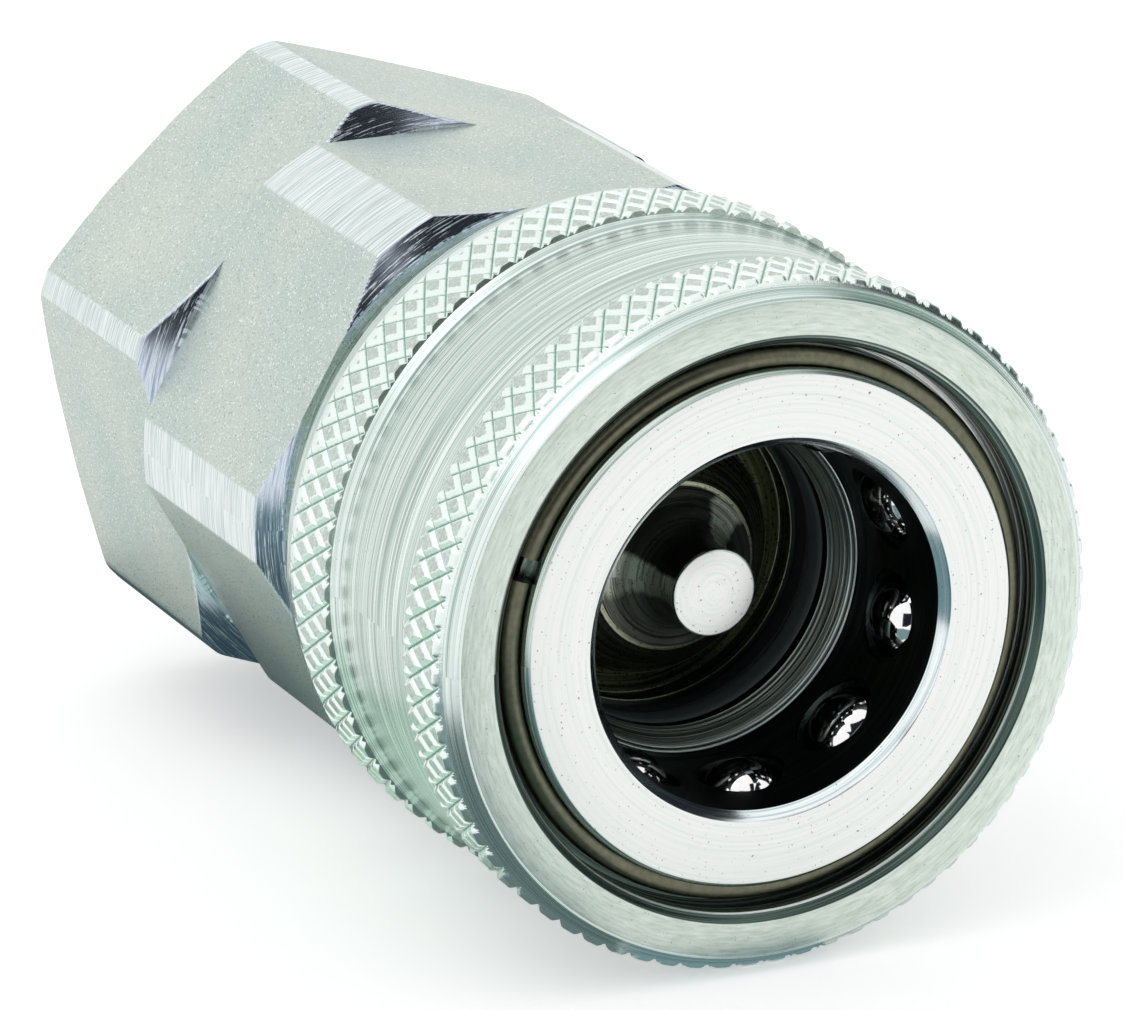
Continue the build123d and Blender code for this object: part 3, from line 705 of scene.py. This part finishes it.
def buildBody(s):
    front, rear = highX("body"), lowX("body")
    hexFront = rear + s["hexLength"]
    run = (s["turnedRadius"] - s["faceRadius"]) * math.tan(math.radians(s["chamfer"]))
    cone = np.linspace(hexFront - run - 0.3, hexFront, 22)
    x = np.concatenate([[rear, rear + 0.08, rear + 0.3, rear + 6], cone])
    band, isTurned, isCone = hexBand(x, s, hexFront, rear, s["turnedRadius"], s["turnedRadius"] - 0.12)
    few = s["columns"] // 3
    nose, collar, bore = s["nose"], s["collar"], s["boreRadius"]
    grooveRear, grooveFront, grooveDepth = s["groove"]
    (stepX, stepR), (throatX, throatR) = s["step"], s["throat"]
    glandFront, glandRear, glandR = s["gland"]
    seatX, throughR, seatR = s["seatBore"]
    (socketX, socketR), (threadX, threadR) = s["socket"], s["threadBore"]
    outer = roundedLoop([
        (hexFront, collar, 0.0, 1), (-21.3, collar, 0.05, 1), (-21.0, collar - 0.3, 0.05, 1),
        (-21.0, nose, 0.0, 1), (grooveRear, nose, 0.0, 1), (grooveRear, nose - grooveDepth, 0.05, 1),
        (grooveFront, nose - grooveDepth, 0.05, 1), (grooveFront, nose, 0.05, 1), (-0.25, nose, 0.08, 1),
        (front, nose - 0.25, 0.08, 2), (front, 10.85, 0.06, 3), (-0.55, bore, 0.08, 4),
        (stepX, bore, 0.0, 4), (stepX, stepR, 0.06, 5), (throatX, throatR, 0.1, 4),
        (glandFront, 8.95, 0.05, 4), (glandFront, glandR, 0.0, 4), (glandRear, glandR, 0.0, 4),
        (glandRear, throughR, 0.05, 6), (seatX, throughR, 0.05, 6), (seatX, seatR, 0.0, 4),
        (socketX, seatR, 0.0, 1), (socketX, socketR, 0.0, 1), (threadX, socketR, 0.0, 1),
        (threadX, threadR, 0.0, 1), (rear, threadR, 0.0, 1),
    ], 4)
    bands = [(band, np.zeros(len(x), int), None), (spun(outer[0], few), outer[1], None)]
    rest = np.zeros(len(outer[0]) * few)
    values = {
        "turned": np.concatenate([isTurned.ravel(), rest]),
        "cone": np.concatenate([isCone.ravel(), rest]),
    }
    finishes = [hexPlate, turnedPlate, nosePlate, chamferPlate, boreSteel, stepSteel, seatSteel]
    piece = stackPiece("coupler_body", bands, finishes, "housing", 30.0, values)
    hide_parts("body")
    drillBalls(piece, s)
    return piece


def hexMaterial(name, b, t, c):
    # one surface in three finishes, chosen by numbers on the points:
    # b for blasted flats, t for turned corners, c for bright cones
    material, tree, shader = blankMetal(name)
    millimetres, x, radius, angle = roundCoordinates(tree)
    turned, cone = pointNumber(tree, "turned"), pointNumber(tree, "cone")
    grain = noise(tree, millimetres, b["grain"], 2.0, 0.6)
    facets = addNode(tree, "ShaderNodeTexVoronoi", {"Vector": millimetres, "Scale": b["facets"]})
    cloud = noise(tree, millimetres, b["cloud"], 2.0)
    chance = addNode(tree, "ShaderNodeSeparateColor", {0: facets.outputs["Color"]}).outputs[0]
    base = blendColour(tree, ramp(tree, cloud, [(0.3, 0.0), (0.7, 1.0)]), b["cool"], b["warm"])
    shade = ramp(tree, grain, [(0.32, b["grainDark"]), (0.7, 1.0)])
    grainy = blendColour(tree, 1.0, base, shade, "MULTIPLY")
    sparkle = ramp(tree, chance, [(b["sparkleAt"], 0.0), (b["sparkleAt"] + 0.02, 1.0)])
    pit = ramp(tree, chance, [(b["pitAt"], 1.0), (b["pitAt"] + 0.01, 0.0)])
    blastTone = blendColour(tree, pit, blendColour(tree, sparkle, grainy, b["sparkle"]), b["pit"])
    lines = cuttingLines(tree, x, radius, angle, t["fineness"], t["wander"])
    coneLines = cuttingLines(tree, x, radius, angle, c["fineness"], t["wander"])
    turnTone = ramp(tree, lines, [(0.34, t["dark"]), (0.6, t["light"])])
    coneTone = ramp(tree, coneLines, [(0.35, c["dark"]), (0.6, c["light"])])
    tone = blendColour(tree, cone, blendColour(tree, turned, blastTone, turnTone), coneTone)
    tree.links.new(tone, shader.inputs["Base Color"])

    def mix(share, a, b):
        return addNode(tree, "ShaderNodeMix", {0: share, 2: a, 3: b}, data_type="FLOAT").outputs[0]

    roughBlast = calc(tree, "SUBTRACT", b["rough"], calc(tree, "MULTIPLY", sparkle, 0.2))
    tree.links.new(mix(cone, mix(turned, roughBlast, t["rough"]), c["rough"]), shader.inputs["Roughness"])
    pebbles = calc(tree, "ADD", grain, calc(tree, "MULTIPLY", chance, 0.35))
    blastHeight = calc(tree, "MULTIPLY", pebbles, b["depth"])
    turnHeight = calc(tree, "MULTIPLY", lines, t["depth"])
    scratch = ramp(tree, coneLines, [(0.6, 0.0), (0.66, 1.0)])
    coneHeight = calc(tree, "MULTIPLY", scratch, c["depth"])
    addBump(tree, shader, mix(cone, mix(turned, blastHeight, turnHeight), coneHeight), mm)
    return material


stripLook = dict(
    dark=(0.5, 0.58, 0.57), light=(0.86, 0.94, 0.93), fineness=9.0, wander=0.5, rough=0.24, depth=0.003,
)
coneLook = dict(
    dark=(0.3, 0.37, 0.5), light=(0.78, 0.86, 0.93), fineness=13.0, rough=0.16, depth=0.007,
)
hexPlate = hexMaterial("hexagon_plating", blastLook, stripLook, coneLook)
buildBody(bodySet)
print("body built")

adapterSet = dict(
    flats=34.0, corner=42.5, faceRadius=17.3, chamfer=30.0, columns=1080, soft=0.12, cornerSoft=0.2,
    markSoft=0.05, rounded=19.2, spigot=12.96, passage=8.5, root=10.6, mouth=0.9, portDepth=14.0,
    cone=1.6, zone=1.7, threadPitch=1.814, threadHeight=1.2, threadStep=0.1,
)


def buildAdapter(s):
    front, rear = highX("adapter"), lowX("adapter")
    joint = lowX("body")
    zone = np.linspace(0, s["zone"], 24)
    x = np.concatenate([rear + zone, [rear + 6, joint - 6], joint - zone[::-1]])
    band, isTurned, isCone = hexBand(x, s, joint, rear, s["rounded"], s["faceRadius"])
    few = s["columns"] // 3
    wall = rear + s["portDepth"]
    ahead = roundedLoop([
        (joint, s["spigot"], 0.0, 1), (front - 0.5, s["spigot"], 0.0, 1),
        (front, s["spigot"] - 0.5, 0.0, 1), (front, s["passage"], 0.1, 1),
        (wall + s["cone"], s["passage"], 0.1, 1), (wall, s["root"], 0.05, 1),
    ], 4)
    # thread: radius = root - height * trapezoid of (distance along the axis / pitch - turns),
    # faded at the inner end and cut by the mouth's cone
    tx = np.arange(wall - 0.2, rear + 0.02, -s["threadStep"])
    angle = turn * np.arange(few) / few
    phase = (tx[:, None] / s["threadPitch"] - angle[None, :] / turn) % 1.0
    ridge = np.clip((0.5 - np.abs(phase - 0.5) - 0.06) / 0.38, 0, 1)
    fade = np.clip((wall - 0.5 - tx) / 1.5, 0, 1)[:, None]
    mouth = s["root"] + s["mouth"]
    coneR = mouth - (tx - rear)[:, None]
    r = np.maximum(s["root"] - s["threadHeight"] * ridge * fade, coneR)
    thread = ringsAt(tx[:, None], r, angle)
    back = roundedLoop([(rear, mouth, 0.0, 1), (rear, mouth + 0.05, 0.0, 1)], 4)
    bands = [
        (band, np.zeros(len(x), int), None), (spun(ahead[0], few), ahead[1], None),
        (thread, np.full(len(tx), 1), None), (spun(back[0], few), back[1], None),
    ]
    rest = np.ones((len(ahead[0]) + len(tx) + len(back[0])) * few)
    values = {
        "turned": np.concatenate([isTurned.ravel(), rest]),
        "cone": np.concatenate([isCone.ravel(), 0 * rest]),
    }
    finishes = [hexPlate, turnedPlate]
    piece = stackPiece("rear_adapter", bands, finishes, "housing", 30.0, values)
    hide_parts("adapter")
    return piece


buildAdapter(adapterSet)
print("adapter built")


# retaining ring

ringSet = dict(height=1.4, fillet=0.66, gapAt=160.0, gap=5.0, columns=284)


def buildRing(s):
    rear, front = lowX("retaining_ring"), highX("retaining_ring")
    outer = outerRadius("retaining_ring")
    inner = outer - s["height"]
    corners = [(rear, outer), (front, outer), (front, inner), (rear, inner)]
    outline, marks = roundedLoop([(x, r, s["fillet"]) for x, r in corners], 8)
    start = math.radians(s["gapAt"] + s["gap"] / 2)
    points = spun(outline, s["columns"], start, math.radians(360 - s["gap"]), False)
    rows, columns = points.shape[:2]
    quads = gridQuads(rows, columns, True, False)
    capA = [int(i * columns) for i in range(rows)]
    capB = [int(i * columns + columns - 1) for i in range(rows)][::-1]
    faces = quads.tolist() + [capA, capB]
    piece = newPiece("snap_ring", points, faces, [ringSteel], "housing", None, 40.0)
    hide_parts("retaining_ring")
    return piece


buildRing(ringSet)


# balls

ballSet = dict(rows=33, columns=64)


def buildBall(number, s):
    # radius * (cos of height, sin of height) turned round the ball's own axis
    node = f"ball_{number:02d}"
    low, high = (np.array(corner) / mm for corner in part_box(node))
    centre, radius = (low + high) / 2, (high[0] - low[0]) / 2
    height = np.linspace(-math.pi / 2, math.pi / 2, s["rows"])
    outline = np.stack([radius * np.sin(height), radius * np.cos(height)], axis=1)
    points = spun(outline, s["columns"]) + centre
    faces = gridQuads(s["rows"], s["columns"], False, True)
    name = f"lock_ball_{number:02d}"
    piece = newPiece(name, points, faces, [chromeSteel], node, weld=True, sharp=60)
    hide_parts(node)


for ballNumber in range(1, 11):
    buildBall(ballNumber, ballSet)
print("ring and balls built")


# seals, seat and valve

sealPiece = turnedPiece("lip_seal", [
    (-13.8, 11.3, 0.2), (-11.95, 11.3, 0.2), (-11.95, 8.87, 0.4), (-13.8, 8.87, 0.4),
], [sealRubber], "housing")
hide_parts("mouth_seal")
backupPiece = turnedPiece("seal_backup", [
    (-15.15, 11.3, 0.05), (-13.85, 11.3, 0.05), (-13.85, 9.0, 0.08), (-15.15, 9.0, 0.08),
], [backupPlastic], "housing")
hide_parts("backup_ring")
seatPiece = turnedPiece("valve_seat", [
    (-20.6, 9.88, 0.05), (-16.62, 9.88, 0.05), (-16.62, 8.65, 0.06),
    (-18.1, 7.45, 0.06), (-19.0, 7.45, 0.05), (-20.6, 9.0, 0.05),
], [seatSteel], "housing")
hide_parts("seat")

poppetSet = dict(tip=2.5, neck=2.35, flareFoot=4.6, flareFrom=1.7, flareReach=3.2, columns=192)


def buildPoppet(s):
    # flare: radius = neck + (foot - neck) * (1 - root of (1 - share squared))
    front, rear = highX("poppet"), lowX("poppet")
    flare = np.linspace(0, 1, 14)
    flareX = front - s["flareFrom"] - s["flareReach"] * flare
    flareR = s["neck"] + (s["flareFoot"] - s["neck"]) * (1 - np.sqrt(1 - flare ** 2))
    head = [
        (rear, 0.0), (rear, 2.4), (rear + 0.1, 2.5), (-22.55, 2.5), (-22.5, 8.5), (-22.4, 8.6), (-20.6, 8.6),
        (-20.5, 8.55), (-19.1, 7.15), (-19.05, 7.1), (-15.15, 7.1), (-15.1, 7.0), (-12.33, 4.85),
        (-12.30, s["flareFoot"]),
    ]
    tip = [(front - 0.12, s["tip"]), (front - 0.03, s["tip"] - 0.06), (front, s["tip"] - 0.14), (front, 0.0)]
    outline = np.array(head + [(x, r) for x, r in zip(flareX[::-1], flareR[::-1])] + tip)
    marks = [0] * 11 + [1, 1, 2] + [2] * 14 + [0, 0, 3, 3]
    points = spun(outline, s["columns"])
    faces = gridQuads(len(outline), s["columns"], False, True)
    finishes = [turnedPlate, seatSteel, flareSteel, nosePlate]
    faceMarks = np.repeat(marks[:-1], s["columns"])
    piece = newPiece(
        "valve_poppet", points, faces, finishes, "valve", faceMarks, 30.0, weld=True)
    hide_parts("poppet")
    return piece


buildPoppet(poppetSet)
print("valve built")


springSet = dict(sides=20, steps=48)


def buildSpring(node, body, wire, coils, s):
    # a tube of half the wire round the line (rise * t, coil * cos(turns * t), coil * sin(turns * t))
    rear, front = lowX(node), highX(node)
    half = wire / 2
    coil = outerRadius(node) - half
    rise = front - rear - wire
    t = np.linspace(0, 1, int(coils * s["steps"]) + 1)
    angle = turn * coils * t
    zero = 0 * t
    middle = np.stack([rear + half + rise * t, coil * np.cos(angle), coil * np.sin(angle)], axis=-1)
    outward = np.stack([zero, np.cos(angle), np.sin(angle)], axis=-1)
    speed = coil * turn * coils
    along = np.stack([zero + rise, -speed * np.sin(angle), speed * np.cos(angle)], axis=-1)
    along /= np.linalg.norm(along, axis=-1, keepdims=True)
    side = np.cross(along, outward)
    around = turn * np.arange(s["sides"])[:, None] / s["sides"]
    points = middle[:, None] + half * (np.cos(around) * outward[:, None] + np.sin(around) * side[:, None])
    rows = len(t)
    faces = gridQuads(rows, s["sides"], False, True).tolist()
    ends = [list(range(s["sides"]))[::-1], [(rows - 1) * s["sides"] + i for i in range(s["sides"])]]
    piece = newPiece(node + "_wire", points, faces + ends, [wireSteel], body, sharp=50)
    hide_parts(node)
    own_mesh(piece)


buildSpring("sleeve_spring", "sleeve_carrier", 1.5, 3.5, springSet)
buildSpring("valve_spring", "housing", 1.1, 4.5, springSet)
print("springs built")


# finishes of the pieces that stay as they are

keptFinishes = {
    "body_seal": sealRubber, "seat_seal": sealRubber, "poppet_seal": sealRubber, "seat_circlip": wireSteel,
    "valve_guide": turnedPlate,
}
for node, finish in keptFinishes.items():
    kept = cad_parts[node]
    kept.data.materials.clear()
    kept.data.materials.append(finish)


# camera, floor and light

cameraSet = dict(azimuth=65.07, elevation=17.99, distance=431.71, aim=(-7.505, -8.987, 6.170), lens=256.0)


def setCamera(s):
    a, e = math.radians(s["azimuth"]), math.radians(s["elevation"])
    back = Vector((math.sin(a) * math.cos(e), -math.cos(a) * math.cos(e), math.sin(e)))
    right = Vector((math.cos(a), math.sin(a), 0))
    up = back.cross(right)
    camera = newObject("camera", bpy.data.cameras.new("camera"))
    camera.data.lens = s["lens"]
    camera.data.sensor_width = 36.0
    camera.data.clip_start = 0.01
    spot = Vector(s["aim"]) * mm + back * s["distance"] * mm
    facing = Matrix((right, up, back)).transposed().to_4x4()
    camera.matrix_world = Matrix.Translation(spot) @ facing
    bpy.context.scene.camera = camera


setCamera(cameraSet)

studioSet = dict(
    floor=6.0, floorTone=0.9, floorLift=0.27, cameraLift=0.4, shade=(-0.02, 0.03, 0.008, 0.016),
    world=1.0, worldDiffuse=0.75, key=1.2, keySize=0.8, keyPlace=(0.1, -0.6, 0.9),
    black=(0.012, 0.014, 0.02), grey=(0.18, 0.27, 0.29), slate=(0.06, 0.1, 0.11), green=(0.28, 0.4, 0.35),
    iron=(0.13, 0.18, 0.18), pale=(0.58, 0.74, 0.65), cardReach=1.2, cardGrid=(16, 24), cardLift=0.0002,
)


def emissive(name, colour):
    material = bpy.data.materials.new(name)
    tree = emptyTree(material)
    glow = addNode(tree, "ShaderNodeEmission", {"Color": (*colour, 1), "Strength": 1.0})
    addNode(tree, "ShaderNodeOutputMaterial", {"Surface": glow.outputs[0]})
    return material


def panel(name, points, rows, columns, material):
    # seen only in reflections
    mesh = bpy.data.meshes.new(name)
    mesh.from_pydata(points.reshape(-1, 3).tolist(), [], gridQuads(rows, columns, False, False).tolist())
    mesh.materials.append(material)
    flag = newObject(name, mesh)
    flag.visible_camera = False
    flag.visible_diffuse = False
    flag.visible_shadow = False


def card(name, azimuths, heights, s, material):
    # a curved panel round the object: reach * (cos of height, sin of height),
    # between two azimuths (from +X towards +Y) and two heights above the horizon, in degrees
    rows, columns = s["cardGrid"]
    azimuth = np.radians(np.linspace(*azimuths, columns))[None, :]
    height = np.radians(np.linspace(*heights, rows))[:, None]
    level = np.cos(height)
    sides = [level * np.cos(azimuth), level * np.sin(azimuth), np.sin(height) + 0 * azimuth]
    panel(name, s["cardReach"] * np.stack(sides, axis=-1), rows, columns, material)


def mat(name, alongX, alongY, level, material):
    # a flat panel just over the floor
    points = np.array([(x, y, level) for x in alongX for y in alongY], float)
    panel(name, points, 2, 2, material)


def buildFloor(s, level):
    half = s["floor"] / 2
    corners = [(-half, -half, level), (half, -half, level), (half, half, level), (-half, half, level)]
    mesh = bpy.data.meshes.new("floor")
    mesh.from_pydata(corners, [], [(0, 1, 2, 3)])
    material = bpy.data.materials.new("floor_white")
    tree = emptyTree(material)
    matte = addNode(tree, "ShaderNodeBsdfDiffuse", {"Color": (s["floorTone"],) * 3 + (1,)})
    path = addNode(tree, "ShaderNodeLightPath").outputs
    # metal sees the floor's own shade under and behind the object, and its white further out and in front
    place = addNode(tree, "ShaderNodeTexCoord").outputs["Object"]
    x, y = addNode(tree, "ShaderNodeSeparateXYZ", {0: place}).outputs[:2]
    ahead, reach, far, spread = s["shade"]
    inFront = calc(tree, "DIVIDE", calc(tree, "SUBTRACT", x, ahead), reach, True)
    farOff = calc(tree, "DIVIDE", calc(tree, "SUBTRACT", calc(tree, "ABSOLUTE", y), far), spread, True)
    mirrored = calc(tree, "MAXIMUM", path["Is Glossy Ray"], path["Is Transmission Ray"])
    seen = calc(tree, "MULTIPLY", mirrored, calc(tree, "MAXIMUM", inFront, farOff))
    shown = calc(tree, "MULTIPLY", path["Is Camera Ray"], s["cameraLift"])
    strength = calc(tree, "MAXIMUM", shown, calc(tree, "MULTIPLY", seen, s["floorLift"]))
    lift = addNode(tree, "ShaderNodeEmission", {"Color": (1, 1, 1, 1), "Strength": strength})
    surface = addNode(tree, "ShaderNodeAddShader", {0: matte.outputs[0], 1: lift.outputs[0]})
    addNode(tree, "ShaderNodeOutputMaterial", {"Surface": surface.outputs[0]})
    mesh.materials.append(material)
    newObject("floor", mesh)


def buildWorld(s):
    world = bpy.data.worlds.new("studio")
    bpy.context.scene.world = world
    tree = emptyTree(world)
    path = addNode(tree, "ShaderNodeLightPath").outputs
    direct = calc(tree, "MAXIMUM", path["Is Camera Ray"], path["Is Glossy Ray"])
    shown = calc(tree, "MAXIMUM", direct, path["Is Transmission Ray"])
    sockets = {0: shown, 2: s["worldDiffuse"], 3: s["world"]}
    strength = addNode(tree, "ShaderNodeMix", sockets, data_type="FLOAT").outputs[0]
    sky = addNode(tree, "ShaderNodeBackground", {"Color": (1, 1, 1, 1), "Strength": strength})
    addNode(tree, "ShaderNodeOutputWorld", {"Surface": sky.outputs[0]})


def buildLamp(s):
    lamp = bpy.data.lights.new("key", "AREA")
    lamp.shape, lamp.size, lamp.size_y = "RECTANGLE", s["keySize"], s["keySize"]
    lamp.energy = s["key"]
    key = newObject("key", lamp)
    key.location = s["keyPlace"]
    key.rotation_euler = (-key.location).to_track_quat("-Z", "Y").to_euler()


def placeCards(s, level):
    dark = emissive("flag_black", s["black"])
    card("flag_front", (-42, -12), (2, 33), s, dark)
    card("flag_middle", (-12, 24), (2, 41), s, dark)
    card("flag_top", (-12, 36), (41, 51), s, dark)
    card("flag_right", (62, 100), (2, 50), s, dark)
    card("flag_side", (100, 118), (2, 50), s, emissive("flag_green", s["green"]))
    # painted shade: the panels on the floor stand in for the floor's shade and tint near the object, as
    # metal sees it
    near = level + s["cardLift"]
    mat("flag_groove", (-0.0375, -0.0125), (-0.045, -0.012), near, emissive("flag_pale", s["pale"]))
    grey = emissive("flag_grey", s["grey"])
    mat("flag_low", (0.006, 0.06), (-0.075, -0.0085), near, grey)
    mat("flag_near", (-0.002, 0.0025), (-0.0083, 0.004), near, grey)
    mat("flag_edge", (-0.012, 0.0058), (-0.05, -0.0085), near, emissive("flag_iron", s["iron"]))
    mat("flag_under", (-0.075, -0.038), (-0.0215, 0.02), near, emissive("flag_slate", s["slate"]))


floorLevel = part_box("sleeve")[0][2]
buildFloor(studioSet, floorLevel)
buildWorld(studioSet)
buildLamp(studioSet)
placeCards(studioSet, floorLevel)
print("studio ready")

scene = bpy.context.scene
scene.view_settings.view_transform = "Standard"
bpy.context.view_layer.update()
